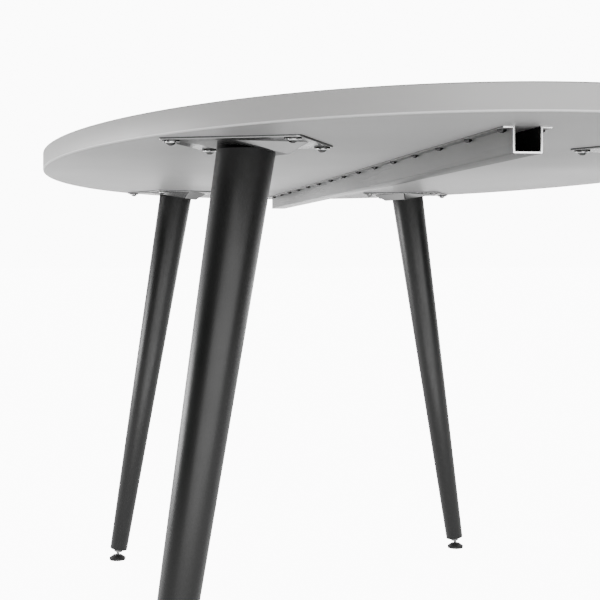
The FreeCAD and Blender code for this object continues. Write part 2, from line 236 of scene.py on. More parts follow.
def patch_and_grain():
    group = bpy.data.node_groups.new("patch_and_grain", "ShaderNodeTree")
    for name, kind in GROUP_INPUTS:
        group.interface.new_socket(name=name, in_out="INPUT", socket_type=kind)
    for name, kind in GROUP_OUTPUTS:
        group.interface.new_socket(name=name, in_out="OUTPUT", socket_type=kind)
    nodes = group.nodes
    links = group.links
    given = nodes.new("NodeGroupInput")
    result = nodes.new("NodeGroupOutput")
    patches = nodes.new("ShaderNodeTexNoise")
    patches.inputs["Detail"].default_value = 4.0
    grain = nodes.new("ShaderNodeTexNoise")
    grain.inputs["Detail"].default_value = 2.0
    spread = nodes.new("ShaderNodeMapRange")
    spread.inputs["From Min"].default_value = 0.3
    spread.inputs["From Max"].default_value = 0.7
    blend = nodes.new("ShaderNodeMix")
    blend.data_type = "RGBA"
    gloss = nodes.new("ShaderNodeMapRange")
    links.new(given.outputs["Vector"], patches.inputs["Vector"])
    links.new(given.outputs["Patch Scale"], patches.inputs["Scale"])
    links.new(given.outputs["Vector"], grain.inputs["Vector"])
    links.new(given.outputs["Grain Scale"], grain.inputs["Scale"])
    links.new(patches.outputs["Fac"], spread.inputs["Value"])
    links.new(spread.outputs["Result"], blend.inputs[0])
    links.new(given.outputs["Light"], blend.inputs[6])
    links.new(given.outputs["Dark"], blend.inputs[7])
    links.new(spread.outputs["Result"], gloss.inputs["Value"])
    links.new(given.outputs["Smooth"], gloss.inputs["To Min"])
    links.new(given.outputs["Rough"], gloss.inputs["To Max"])
    links.new(blend.outputs[2], result.inputs["Color"])
    links.new(gloss.outputs["Result"], result.inputs["Roughness"])
    links.new(grain.outputs["Fac"], result.inputs["Grain"])
    return group


EFFECT = patch_and_grain()
print("effect", EFFECT.name, "has", len(GROUP_INPUTS), "inputs")

# %% [markdown]
# ## Recipe for a finish
#
# A finish is a material with the shared effect, a bump that raises its grain, and one shader. All
# patterns read Object coordinates, in metres, so a scale of 500 means features of about two
# millimetres. Patterns could also follow an unwrapped map, but flat and turned pieces need none.
#
# Two more steps change a finish with the height of a place on the table. One blends in another
# colour, which paints highlights, shade and darker plate edges, and the other paints shade on a
# black coat by taking its gloss off.

# %% Write the recipe
RELIEF_STRENGTH = 0.6


def grey(level, warmth=0.0):
    return (level + warmth, level, level - warmth)


def finish(
    name, light, dark, patch, grain, gloss, bump, metallic=0.0, stretch=(1.0, 1.0, 1.0),
    specular=0.5, grazing=1.0,
):
    """Two colours, patch and grain scales, a range of roughness and the height of the bump."""
    material = bpy.data.materials.new(name)
    material.use_nodes = True
    nodes = material.node_tree.nodes
    links = material.node_tree.links
    shader = nodes["Principled BSDF"]
    coordinates = nodes.new("ShaderNodeTexCoord")
    mapping = nodes.new("ShaderNodeMapping")
    mapping.inputs["Scale"].default_value = stretch
    effect = nodes.new("ShaderNodeGroup")
    effect.node_tree = EFFECT
    effect.inputs["Light"].default_value = (*light, 1.0)
    effect.inputs["Dark"].default_value = (*dark, 1.0)
    effect.inputs["Patch Scale"].default_value = patch
    effect.inputs["Grain Scale"].default_value = grain
    effect.inputs["Smooth"].default_value = gloss[0]
    effect.inputs["Rough"].default_value = gloss[1]
    relief = nodes.new("ShaderNodeBump")
    relief.inputs["Strength"].default_value = RELIEF_STRENGTH
    relief.inputs["Distance"].default_value = bump
    links.new(coordinates.outputs["Object"], mapping.inputs["Vector"])
    links.new(mapping.outputs["Vector"], effect.inputs["Vector"])
    links.new(effect.outputs["Color"], shader.inputs["Base Color"])
    links.new(effect.outputs["Roughness"], shader.inputs["Roughness"])
    links.new(effect.outputs["Grain"], relief.inputs["Height"])
    links.new(relief.outputs["Normal"], shader.inputs["Normal"])
    shader.inputs["Metallic"].default_value = metallic
    shader.inputs["Specular IOR Level"].default_value = specular
    shader.inputs["Specular Tint"].default_value = (*grey(grazing), 1.0)
    print("finish", name, "has a roughness of", gloss[0], "to", gloss[1])
    return material


def height_mask(material, start, stop, low, high):
    """A value that goes from low to high between two heights."""
    nodes = material.node_tree.nodes
    links = material.node_tree.links
    place = nodes.new("ShaderNodeTexCoord").outputs["Object"]
    return ramp(nodes, links, along(nodes, links, place, UP), start, stop, low, high)


def tint_by_height(material, start, stop, tint):
    """Paint another colour on a finish at one height, and blend it out towards the other: painted
    highlights and shade.
    """
    links = material.node_tree.links
    base_color = material.node_tree.nodes["Principled BSDF"].inputs["Base Color"]
    plain = base_color.links[0].from_socket
    blend = material.node_tree.nodes.new("ShaderNodeMix")
    blend.data_type = "RGBA"
    links.new(height_mask(material, start, stop, 1.0, 0.0), blend.inputs[0])
    links.new(plain, blend.inputs[6])
    blend.inputs[7].default_value = (*tint, 1.0)
    links.new(blend.outputs[2], base_color)


def painted_shade_above(material, low, high):
    """Paint shade on a black coat above a height: black metal throws back next to no light."""
    metallic = material.node_tree.nodes["Principled BSDF"].inputs["Metallic"]
    material.node_tree.links.new(height_mask(material, low, high, 0.0, 1.0), metallic)


print("recipe ready, with bumps at", RELIEF_STRENGTH, "of their height")

# %% [markdown]
# ## Finishes
#
# Sheet steel keeps faint lines from the rolling mill, so its pattern is stretched along one axis.
# Powder coat dries with a skin like an orange's, zinc plate is cloudy, and moulded plastic has the
# fine sparkle of its mould. The colours, apart from brass and board, are plain greys.

# %% Mix the finishes
MILL_LINES = (0.02, 1.0, 1.0)
white_laminate = finish(
    "white_laminate", grey(0.76, 0.004), grey(0.73, 0.004),
    patch=6.0, grain=900.0, gloss=(0.42, 0.52), bump=0.00004,
)
underside_laminate = finish(
    "underside_laminate", grey(0.57), grey(0.55),
    patch=5.0, grain=900.0, gloss=(0.38, 0.44), bump=0.00004,
)
white_edging = finish(
    "white_edging", grey(0.52, 0.005), grey(0.50, 0.005),
    patch=9.0, grain=700.0, gloss=(0.36, 0.44), bump=0.00003,
)
grey_steel = finish(
    "grey_steel", grey(0.26), grey(0.24),
    patch=40.0, grain=600.0, gloss=(0.26, 0.30), bump=0.00001, stretch=MILL_LINES, specular=0.03,
)
bracket_steel = finish(
    "bracket_steel", grey(0.50), grey(0.45),
    patch=35.0, grain=700.0, gloss=(0.20, 0.26), bump=0.00003, metallic=0.9, grazing=0.25,
)
# Painted shade for the hollow inside the rail: a near-black finish.
mill_scale = finish(
    "mill_scale", grey(0.008), grey(0.005),
    patch=40.0, grain=600.0, gloss=(0.5, 0.6), bump=0.00001, specular=0.1,
)
cut_steel = finish(
    "cut_steel", grey(0.97), grey(0.93),
    patch=300.0, grain=2500.0, gloss=(0.16, 0.22), bump=0.00001, metallic=1.0,
)
black_coat = finish(
    "black_coat", grey(0.003), grey(0.002),
    patch=25.0, grain=650.0, gloss=(0.34, 0.39), bump=0.00006, specular=0.52,
)
zinc_plate = finish(
    "zinc_plate", grey(0.34), grey(0.18),
    patch=220.0, grain=1500.0, gloss=(0.05, 0.10), bump=0.00001, metallic=1.0,
)
dark_zinc = finish(
    "dark_zinc", grey(0.09), grey(0.05),
    patch=220.0, grain=1500.0, gloss=(0.10, 0.16), bump=0.00001, metallic=1.0, grazing=0.4,
)
button_zinc = finish(
    "button_zinc", grey(0.12), grey(0.07),
    patch=220.0, grain=1500.0, gloss=(0.08, 0.12), bump=0.00001, metallic=1.0, grazing=0.4,
)
dull_steel = finish(
    "dull_steel", grey(0.48), grey(0.40),
    patch=120.0, grain=900.0, gloss=(0.35, 0.48), bump=0.00002, metallic=1.0,
)
turned_brass = finish(
    "turned_brass", (0.76, 0.58, 0.27), (0.64, 0.46, 0.20),
    patch=200.0, grain=1200.0, gloss=(0.25, 0.35), bump=0.00002, metallic=1.0,
)
black_plastic = finish(
    "black_plastic", grey(0.022), grey(0.014),
    patch=90.0, grain=1800.0, gloss=(0.48, 0.60), bump=0.00005,
)
sole_rubber = finish(
    "sole_rubber", grey(0.050), grey(0.032),
    patch=120.0, grain=1400.0, gloss=(0.75, 0.88), bump=0.00006,
)
particle_board = finish(
    "particle_board", (0.72, 0.58, 0.40), (0.50, 0.36, 0.22),
    patch=260.0, grain=700.0, gloss=(0.75, 0.90), bump=0.0002,
)

# %% [markdown]
# ## Floor
#
# The floor is a wide sheet of the same white paper as the wall. A plain white floor would throw too
# much light up at the table, so this one is grey and glows white for the camera alone. In
# reflections it grows brighter with the distance, from the first to the second value of
# FLOOR_REACH, and so the underside of the top looks paler towards its far edge.

# %% Lay the floor
FLOOR_SIDE = 80.0
FLOOR_GLOW = 11.0
FLOOR_SHINE = (0.9, 5.6)
FLOOR_REACH = (5.0, 11.0)


def floor_paper():
    material = finish(
        "pale_floor", grey(0.38), grey(0.37),
        patch=0.8, grain=60.0, gloss=(0.75, 0.85), bump=0.00002,
    )
    nodes = material.node_tree.nodes
    links = material.node_tree.links
    paths = nodes.new("ShaderNodeLightPath")
    place = nodes.new("ShaderNodeTexCoord").outputs["Object"]
    behind = along(nodes, links, place, GAZE)
    shine = nodes.new("ShaderNodeMath")
    shine.operation = "MULTIPLY"
    links.new(paths.outputs["Is Glossy Ray"], shine.inputs[0])
    links.new(ramp(nodes, links, behind, *FLOOR_REACH, *FLOOR_SHINE), shine.inputs[1])
    glow = nodes.new("ShaderNodeMath")
    glow.operation = "MULTIPLY_ADD"
    glow.inputs[1].default_value = FLOOR_GLOW
    links.new(paths.outputs["Is Camera Ray"], glow.inputs[0])
    links.new(shine.outputs["Value"], glow.inputs[2])
    shader = nodes["Principled BSDF"]
    shader.inputs["Emission Color"].default_value = WHITE
    links.new(glow.outputs["Value"], shader.inputs["Emission Strength"])
    return material


bpy.ops.object.select_all(action="DESELECT")
bpy.ops.mesh.primitive_plane_add(size=FLOOR_SIDE)
floor = bpy.context.object
floor.name = "studio_floor"
floor.data.materials.append(floor_paper())
print("floor laid,", FLOOR_SIDE, "m wide")

# %% [markdown]
# ## Bench tools
#
# Operators act on whatever is selected, so every step starts by selecting one piece, or the part of
# it that a test finds by its place. The other helpers turn a shape up from a circle, make a flat
# ring, apply a modifier, and hand a finished piece to the frame.

# %% Define the bench tools
SMOOTH_ANGLE = math.radians(32)
EASE_ANGLE = math.radians(60)
TINY = 1e-5


def only(piece):
    bpy.ops.object.select_all(action="DESELECT")
    piece.select_set(True)
    bpy.context.view_layer.objects.active = piece


def edit(piece, mode="FACE"):
    only(piece)
    bpy.ops.object.mode_set(mode="EDIT")
    bpy.ops.mesh.select_mode(type=mode)


def done():
    bpy.ops.object.mode_set(mode="OBJECT")


def pick(piece, kind, test):
    """In edit mode, select the faces or edges of a piece that pass a test."""
    bpy.ops.mesh.select_all(action="DESELECT")
    mesh = bmesh.from_edit_mesh(piece.data)
    for element in getattr(mesh, kind):
        if test(element):
            element.select_set(True)
    bmesh.update_edit_mesh(piece.data)


def outwards():
    bpy.ops.mesh.select_all(action="SELECT")
    bpy.ops.mesh.normals_make_consistent(inside=False)


def modify(piece, kind, **settings):
    only(piece)
    bpy.ops.object.modifier_add(type=kind)
    modifier = piece.modifiers[-1]
    for name, value in settings.items():
        setattr(modifier, name, value)
    bpy.ops.object.modifier_apply(modifier=modifier.name)


def soften(piece, width):
    """Break the sharp edges of a piece with a fine bevel."""
    modify(
        piece, "BEVEL", width=width, segments=2, limit_method="ANGLE", angle_limit=EASE_ANGLE
    )


def carve(piece, cutter, operation="DIFFERENCE"):
    """Cut a piece with another, or join it on, and take the other away."""
    modify(piece, "BOOLEAN", operation=operation, solver="EXACT", object=cutter)
    bpy.data.objects.remove(cutter)


def turned(name, stations, sides):
    """Turn a shape up from a filled circle, extruded and scaled from station to station."""
    radius, height = stations[0]
    bpy.ops.object.select_all(action="DESELECT")
    bpy.ops.mesh.primitive_circle_add(vertices=sides, radius=radius, fill_type="NGON")
    piece = bpy.context.object
    piece.name = name
    edit(piece)
    bpy.ops.mesh.select_all(action="SELECT")
    bpy.ops.transform.translate(value=(0, 0, height))
    for next_radius, next_height in stations[1:]:
        step = {"value": (0, 0, next_height - height)}
        bpy.ops.mesh.extrude_region_move(TRANSFORM_OT_translate=step)
        share = next_radius / radius
        bpy.ops.transform.resize(value=(share, share, 1), center_override=(0, 0, next_height))
        radius, height = next_radius, next_height
    outwards()
    done()
    return piece


def oval_loop(half_length, half_width, low, steps):
    """In edit mode, add an oval to the mesh, which leaves only the oval selected."""
    bpy.ops.mesh.primitive_circle_add(vertices=steps, radius=1.0, fill_type="NOTHING")
    bpy.ops.transform.resize(value=(half_length, half_width, 1), center_override=(0, 0, 0))
    bpy.ops.transform.translate(value=(0, 0, low))


def flat_ring(name, outer, inner, low, high, steps):
    """Bridge two ovals into a flat ring and raise it to its thickness."""
    bpy.ops.object.select_all(action="DESELECT")
    bpy.ops.mesh.primitive_circle_add(vertices=steps, radius=1.0, fill_type="NOTHING")
    piece = bpy.context.object
    piece.name = name
    edit(piece, "EDGE")
    bpy.ops.mesh.select_all(action="SELECT")
    bpy.ops.transform.resize(value=(*outer, 1), center_override=(0, 0, 0))
    bpy.ops.transform.translate(value=(0, 0, low))
    oval_loop(*inner, low, steps)
    bpy.ops.mesh.select_all(action="SELECT")
    bpy.ops.mesh.bridge_edge_loops()
    bpy.ops.mesh.select_mode(type="FACE")
    bpy.ops.mesh.select_all(action="SELECT")
    bpy.ops.mesh.extrude_region_move(TRANSFORM_OT_translate={"value": (0, 0, high - low)})
    outwards()
    done()
    return piece


def round_rim(piece, half_length, half_width, heights, rounding, segments):
    """Round the outer edges of an oval piece at the given heights."""

    def on_rim(edge):
        for vertex in edge.verts:
            place = vertex.co
            if (place.x / half_length) ** 2 + (place.y / half_width) ** 2 < 1 - 1e-4:
                return False
        middle = (edge.verts[0].co.z + edge.verts[1].co.z) / 2
        return min(abs(middle - height) for height in heights) < TINY

    edit(piece, "EDGE")
    pick(piece, "edges", on_rim)
    bpy.ops.mesh.bevel(offset=rounding, segments=segments, profile=0.5, affect="EDGES")
    done()


def copy_of(piece):
    only(piece)
    bpy.ops.object.duplicate(linked=False)
    return bpy.context.object


def joined(pieces):
    only(pieces[0])
    for piece in pieces[1:]:
        piece.select_set(True)
    bpy.ops.object.transform_apply(location=True, rotation=True, scale=True)
    bpy.ops.object.join()
    return bpy.context.object


def hand_over(piece, name, material, body, slot, *nodes):
    """Fix a piece's place in its mesh, shade it, dress it and let it ride on its body."""
    only(piece)
    bpy.ops.object.transform_apply(location=True, rotation=True, scale=True)
    bpy.ops.object.shade_smooth_by_angle(angle=SMOOTH_ANGLE)
    piece.name = name
    piece.data.name = name
    if material.name not in piece.data.materials:
        piece.data.materials.append(material)
    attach(piece, body)
    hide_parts(*nodes)
    print(name, "has", len(piece.data.polygons), "faces")


print("bench tools ready; edges over", round(math.degrees(EASE_ANGLE)), "degrees get eased")

# %% [markdown]
# ## Tabletop
#
# The board is particle board between two sheets of laminate, with a plastic band glued round its
# rim. The band is what the photo shows: a smooth wall with both edges rounded. An oval could be a
# subdivided cube, but a circle scaled along two axes is exact, and the band is a ring bridged
# between two such ovals. Its lower rounding is painted paler than its wall, as a painted highlight,
# and a fine dark line of painted shade runs along its upper edge. Both are changes of colour with
# the height.

# %% Make the edge band and the laminate sheets
top_low, top_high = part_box("edge_band")
HALF_LENGTH = round(2 * top_high.x, 3) / 2
HALF_WIDTH = round(2 * top_high.y, 3) / 2
UNDERSIDE = top_low.z
TABLE_HEIGHT = top_high.z
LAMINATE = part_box("upper_laminate")[1].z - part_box("upper_laminate")[0].z
BAND_THICKNESS = 0.002
BAND_ROUNDING = 0.0015
SEAM_ROUNDING = 0.0002
PAINTED_HIGHLIGHT_LINE = (0.0015, 0.0021)
PAINTED_SHADE_LINE = (0.0007, 0.0013)
RIM_STEPS = 320
board_oval = (HALF_LENGTH - BAND_THICKNESS, HALF_WIDTH - BAND_THICKNESS)

top_oval = (HALF_LENGTH, HALF_WIDTH)
band = flat_ring("rim_band", top_oval, board_oval, UNDERSIDE, TABLE_HEIGHT, RIM_STEPS)
round_rim(band, *top_oval, (UNDERSIDE, TABLE_HEIGHT), BAND_ROUNDING, segments=4)
hand_over(band, "rim_band", white_edging, "table", "edge_band", "edge_band")
# Painted highlight: the lower rounding of the band is painted near white.
tint_by_height(white_edging, UNDERSIDE + PAINTED_HIGHLIGHT_LINE[0], UNDERSIDE + PAINTED_HIGHLIGHT_LINE[1], grey(0.97))
# Painted shade: a dark line is painted along the upper rounding of the band.
tint_by_height(white_edging, TABLE_HEIGHT - PAINTED_SHADE_LINE[0], TABLE_HEIGHT - PAINTED_SHADE_LINE[1], grey(0.25))


def laminate_sheet(name, low, high, seen, material, slot, node):
    """One sheet of laminate; the edge on its seen face is broken, which draws a hairline seam."""
    bpy.ops.object.select_all(action="DESELECT")
    bpy.ops.mesh.primitive_circle_add(vertices=RIM_STEPS, radius=1.0, fill_type="NGON")
    sheet = bpy.context.object
    edit(sheet)
    bpy.ops.mesh.select_all(action="SELECT")
    bpy.ops.transform.resize(value=(*board_oval, 1), center_override=(0, 0, 0))
    bpy.ops.transform.translate(value=(0, 0, low))
    bpy.ops.mesh.extrude_region_move(TRANSFORM_OT_translate={"value": (0, 0, high - low)})
    outwards()
    done()
    round_rim(sheet, *board_oval, (seen,), SEAM_ROUNDING, segments=2)
    hand_over(sheet, name, material, "table", slot, node)


laminate_sheet(
    "top_sheet", TABLE_HEIGHT - LAMINATE, TABLE_HEIGHT, TABLE_HEIGHT,
    white_laminate, "laminate", "upper_laminate",
)
laminate_sheet(
    "underside_sheet", UNDERSIDE, UNDERSIDE + LAMINATE, UNDERSIDE,
    underside_laminate, "laminate_underside", "lower_laminate",
)

# %% [markdown]
# ## Stiffener rail
#
# A long board sags, so a hat-shaped rail of bent sheet steel is screwed under its middle. It is
# bent from one sheet, and it is modelled the same way: a strip for the bottom, its long edges
# extruded up for the walls and out for the flanges. Solidify gives the sheet its thickness, and a
# bevel rounds the two lower folds. The sawn ends show bare, brighter metal, and the inside is
# painted near black, as painted shade for the hollow of the hat.

# %% Fold the rail
rail_low, rail_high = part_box("stiffener_rail")
RAIL_SHEET = 0.0018
RAIL_FLANGE = 0.0093
RAIL_FOLD = 0.001
RAIL_EASE = 0.0002
SAWN_END, INSIDE = 1, 2
END_FACING = 0.9
RAIL_LENGTH = rail_high.x - rail_low.x
RAIL_HALF = rail_high.y - RAIL_FLANGE
RAIL_BOTTOM = rail_low.z

bpy.ops.object.select_all(action="DESELECT")
bpy.ops.mesh.primitive_plane_add(size=1.0)
rail = bpy.context.object
edit(rail, "EDGE")
bpy.ops.mesh.select_all(action="SELECT")
bpy.ops.transform.resize(value=(RAIL_LENGTH, 2 * RAIL_HALF, 1), center_override=(0, 0, 0))
bpy.ops.transform.translate(value=(0, 0, RAIL_BOTTOM))
wall_height = UNDERSIDE - RAIL_SHEET - RAIL_BOTTOM
for side in (-1, 1):
    pick(rail, "edges", lambda edge: all(v.co.y * side > RAIL_HALF - TINY for v in edge.verts))
    bpy.ops.mesh.extrude_region_move(TRANSFORM_OT_translate={"value": (0, 0, wall_height)})
    bpy.ops.mesh.extrude_region_move(TRANSFORM_OT_translate={"value": (0, side * RAIL_FLANGE, 0)})
outwards()
done()
bottom = min(rail.data.polygons, key=lambda face: face.center.z)
if bottom.normal.z > 0:
    edit(rail)
    bpy.ops.mesh.select_all(action="SELECT")
    bpy.ops.mesh.flip_normals()
    done()
modify(rail, "SOLIDIFY", thickness=RAIL_SHEET, offset=-1.0, use_even_offset=True)


def lower_fold(edge):
    low = all(abs(v.co.z - RAIL_BOTTOM) < TINY for v in edge.verts)
    return low and abs(edge.verts[0].co.x - edge.verts[1].co.x) > RAIL_LENGTH / 2


edit(rail, "EDGE")
pick(rail, "edges", lower_fold)
bpy.ops.mesh.bevel(offset=RAIL_FOLD, segments=3, profile=0.5, affect="EDGES")
done()
soften(rail, RAIL_EASE)
for material in (grey_steel, cut_steel, mill_scale):
    rail.data.materials.append(material)
# Painted shade: the faces inside the hat get the near-black finish.
for face in rail.data.polygons:
    within_walls = abs(face.center.y) < RAIL_HALF - RAIL_SHEET / 2
    above_bottom = face.center.z > RAIL_BOTTOM + RAIL_SHEET / 2
    if abs(face.normal.x) > END_FACING:
        face.material_index = SAWN_END
    elif within_walls and above_bottom:
        face.material_index = INSIDE
hand_over(rail, "folded_rail", grey_steel, "table", "bare_steel", "stiffener_rail")

# %% [markdown]
# ## Screws
#
# Each screw is turned from its tip to its head: the shank, the shoulder under the head, a short
# upright rim and a shallow dome. A cutter sinks the drive: a cross for the rail's pan heads and a
# hexagon for the brackets' button heads. One screw of each kind is modelled, then copied to every
# hole, and each copy is turned a little further, as screws end up in real life.

# %% Turn the screws and drive them in
GOLDEN_TURN = math.radians(137.5)


def domed_screw(name, head_radius, head_height, rim, shank_radius, shank_length, point):
    rise = head_height - rim
    sphere = (head_radius ** 2 + rise ** 2) / (2 * rise)
    widest = math.asin(head_radius / sphere)
    stations = [
        (shank_radius * 0.3, shank_length),
        (shank_radius, shank_length - point),
        (shank_radius, 0.0),
        (head_radius, 0.0),
        (head_radius, -rim),
    ]
    for share in (0.8, 0.6, 0.4, 0.2, 0.05):
        angle = widest * share
        stations.append((sphere * math.sin(angle), sphere * (1 - math.cos(angle)) - head_height))
    return turned(name, stations, 32)


def sunk_cross(screw, length, width, depth, bottom):
    for size in ((length, width), (width, length)):
        bpy.ops.object.select_all(action="DESELECT")
        bpy.ops.mesh.primitive_cube_add(size=1.0)
        cutter = bpy.context.object
        cutter.scale = (*size, 2 * depth)
        cutter.location = (0, 0, bottom)
        carve(screw, cutter)


def sunk_hexagon(screw, flats, depth, bottom):
    bpy.ops.object.select_all(action="DESELECT")
    bpy.ops.mesh.primitive_cylinder_add(vertices=6, radius=flats / math.sqrt(3), depth=2 * depth)
    cutter = bpy.context.object
    cutter.location = (0, 0, bottom)
    carve(screw, cutter)


def set_of(model, points, height):
    """Copy a model to each point, each copy turned a little further than the last."""
    copies = []
    for index, (x, y) in enumerate(points):
        piece = copy_of(model)
        piece.location = (x, y, height)
        piece.rotation_euler = (0, 0, index * GOLDEN_TURN)
        copies.append(piece)
    bpy.data.objects.remove(model)
    return joined(copies)


RAIL_SCREW_MARGIN = 0.0185
RAIL_SCREW_PITCH = 0.109
RAIL_HEAD_HEIGHT = 0.0033
rail_run = RAIL_LENGTH - 2 * RAIL_SCREW_MARGIN
rail_row = RAIL_HALF + RAIL_FLANGE / 2
rail_points = [
    (rail_low.x + RAIL_SCREW_MARGIN + step * RAIL_SCREW_PITCH, side * rail_row)
    for side in (-1, 1)
    for step in range(int(rail_run / RAIL_SCREW_PITCH) + 1)
]
pan_head = domed_screw(
    "pan_head", head_radius=0.0043, head_height=RAIL_HEAD_HEIGHT, rim=0.0012,
    shank_radius=0.00175, shank_length=0.0148, point=0.003,
)
sunk_cross(pan_head, length=0.0046, width=0.001, depth=0.0014, bottom=-RAIL_HEAD_HEIGHT)
rail_set = set_of(pan_head, rail_points, UNDERSIDE - RAIL_SHEET)
hand_over(rail_set, "rail_screw_set", dark_zinc, "table", "fasteners", "rail_screws")

# %% [markdown]
# ## Leg lines
#
# Each leg is straight from its bracket to the ball of its foot. The foot's screw turns about that
# line, so the joint in the frame gives it: a point, the ball's centre, and a direction, down the
# leg. Lengths along it are measured up from the ball.


# %% Read the leg lines from the frame
def leg_line(corner):
    joint = joints["stem_turn_" + corner]
    return Vector(joint["pos_m"]), -Vector(joint["axis"]).normalized()


def span_and_radii(node, corner):
    """How far up the leg line a node starts and ends, and its radius at both ends."""
    ball, up = leg_line(corner)
    points = np.array([v.co for v in frame["nodes"][node].data.vertices]) - np.array(ball)
    along = points @ np.array(up)
    away = np.linalg.norm(points - np.outer(along, np.array(up)), axis=1)
    low, high = along.min(), along.max()
    low_radius = away[along < low + TINY].max()
    high_radius = away[along > high - TINY].max()
    return float(low), float(high), float(low_radius), float(high_radius)


def stand_on_line(piece, corner):
    ball, up = leg_line(corner)
    piece.location = ball
    piece.rotation_euler = Vector((0, 0, 1)).rotation_difference(up).to_euler()


FIRST = CORNERS[0]
LEG_FOOT, LEG_SEAT, LEG_FOOT_RADIUS, LEG_SEAT_RADIUS = span_and_radii("leg_tube_" + FIRST, FIRST)
print("leg from", round(LEG_FOOT, 4), "to", round(LEG_SEAT, 4), "m up its line")

# %% [markdown]
# ## Brackets
#
# Each leg hangs from a square plate, turned so that one corner points along the leg's splay. A
# press pushes a wedge out of the plate, whose sloped face is the leg's seat. A wedge is easiest to
# carve: start from a block and slice it with the planes of the seat, the ramp and the two walls.
# Its folds are rounded, it is joined to the plate, and a smaller wedge hollows it out. The plate is
# coloured darker on its edges than on its faces.

# %% Press the brackets
PLATE_SIDE = 0.148
PLATE_CORNER = 0.0055
PLATE_SHEET = 0.0023
SEAT_LIP = 0.0009
SEAT_SIDE_LIP = 0.0033
WALL_SLOPE = math.radians(40)
FOLD_WIDTH = 0.0017
PLATE_EASE = 0.0003
DARK_PLATE_EDGE = (0.0007, 0.0004)
BLOCK_SIDE = 0.24
BELOW_TOP = 0.001
plate_bottom = UNDERSIDE - PLATE_SHEET


def bracket_place(corner):
    """Middle of the plate on the underside, and the way that the leg splays."""
    low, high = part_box("leg_bracket_" + corner)
    out = -leg_line(corner)[1]
    return Vector(((low.x + high.x) / 2, (low.y + high.y) / 2, UNDERSIDE)), math.atan2(out.y, out.x)


def wedge_planes():
    """Point and outward normal of each face of the wedge, with x along the splay."""
    ball, up = leg_line(FIRST)
    middle, turn = bracket_place(FIRST)
    out = Vector((math.cos(turn), math.sin(turn), 0))
    tilt = math.acos(up.z)
    seat_point = ball + up * LEG_SEAT
    seat = Vector(((seat_point - middle).dot(out), 0, seat_point.z - UNDERSIDE))
    along_seat = Vector((math.cos(tilt), 0, math.sin(tilt)))
    fold = seat - along_seat * (LEG_SEAT_RADIUS + SEAT_LIP / math.cos(tilt))
    half_width = LEG_SEAT_RADIUS + SEAT_SIDE_LIP
    planes = [
        (seat, Vector((math.sin(tilt), 0, -math.cos(tilt)))),
        (fold, Vector((-math.sin(WALL_SLOPE), 0, -math.cos(WALL_SLOPE)))),
    ]
    for side in (-1, 1):
        up_wall = Vector((0, side * math.cos(WALL_SLOPE), math.sin(WALL_SLOPE)))
        normal = up_wall.cross(along_seat) * side
        planes.append((fold + Vector((0, side * half_width, 0)), normal.normalized()))
    return planes


def pressed_wedge(inset, top, fold_width):
    bpy.ops.object.select_all(action="DESELECT")
    bpy.ops.mesh.primitive_cube_add(size=BLOCK_SIDE, location=(0, 0, top - BLOCK_SIDE / 2))
    wedge = bpy.context.object
    bpy.ops.object.transform_apply(location=True)
    edit(wedge)
    for point, normal in wedge_planes():
        bpy.ops.mesh.select_all(action="SELECT")
        bpy.ops.mesh.bisect(
            plane_co=point - normal * inset, plane_no=normal, use_fill=True, clear_outer=True
        )
    outwards()
    bpy.ops.mesh.select_mode(type="EDGE")
    pick(wedge, "edges", lambda edge: min(v.co.z for v in edge.verts) < top - BELOW_TOP)
    bpy.ops.mesh.bevel(offset=fold_width, segments=4, profile=0.5, affect="EDGES")
    done()
    return wedge


def bracket_model():
    bpy.ops.object.select_all(action="DESELECT")
    bpy.ops.mesh.primitive_cube_add(size=1.0, location=(0, 0, -PLATE_SHEET / 2))
    plate = bpy.context.object
    plate.scale = (PLATE_SIDE, PLATE_SIDE, PLATE_SHEET)
    bpy.ops.object.transform_apply(location=True, rotation=True, scale=True)
    edit(plate, "EDGE")
    pick(plate, "edges", lambda edge: abs(edge.verts[0].co.z - edge.verts[1].co.z) > TINY)
    bpy.ops.mesh.bevel(offset=PLATE_CORNER, segments=6, profile=0.5, affect="EDGES")
    done()
    plate.rotation_euler = (0, 0, math.radians(45))
    only(plate)
    bpy.ops.object.transform_apply(rotation=True)
    carve(plate, pressed_wedge(0.0, -PLATE_SHEET / 2, FOLD_WIDTH), "UNION")
    carve(plate, pressed_wedge(PLATE_SHEET, PLATE_SHEET, FOLD_WIDTH / 2))
    soften(plate, PLATE_EASE)
    return plate


tint_by_height(
    bracket_steel, plate_bottom + DARK_PLATE_EDGE[0], plate_bottom + DARK_PLATE_EDGE[1], grey(0.20)
)
bracket = bracket_model()
for corner in CORNERS:
    piece = copy_of(bracket)
    middle, turn = bracket_place(corner)
    piece.location = middle
    piece.rotation_euler = (0, 0, turn)
    hand_over(
        piece, "pressed_bracket_" + corner, bracket_steel, "table", "bare_steel",
        "leg_bracket_" + corner,
    )
bpy.data.objects.remove(bracket)

# %% [markdown]
# ## Bracket screws and washers
#
# A button-head screw with a washer holds each corner of a plate. The washer is a flat ring with its
# edges broken, a little larger than the screw's head. Both are dark zinc, and only the rim of the
# head is painted bright, as a painted glint.

# %% Fit the bracket screws and washers
SCREW_SQUARE = 0.1267
SCREW_HEAD_HEIGHT = 0.004
WASHER_RADIUS = 0.0088
WASHER_HOLE = 0.00325
WASHER_THICKNESS = 0.0016
WASHER_EASE = 0.00025
WASHER_STEPS = 40
PAINTED_GLINT_RIM = (0.0010, 0.0014)


def plate_points():
    points = []
    reach = SCREW_SQUARE / math.sqrt(2)
    for corner in CORNERS:
        middle, turn = bracket_place(corner)
        for quarter in range(4):
            angle = turn + quarter * math.pi / 2
            points.append((middle.x + reach * math.cos(angle), middle.y + reach * math.sin(angle)))
    return points


washer = flat_ring(
    "washer", (WASHER_RADIUS, WASHER_RADIUS), (WASHER_HOLE, WASHER_HOLE),
    -WASHER_THICKNESS, 0.0, WASHER_STEPS,
)
soften(washer, WASHER_EASE)
washers = set_of(washer, plate_points(), plate_bottom)
hand_over(washers, "washer_set", dark_zinc, "table", "fasteners", "bracket_washers")

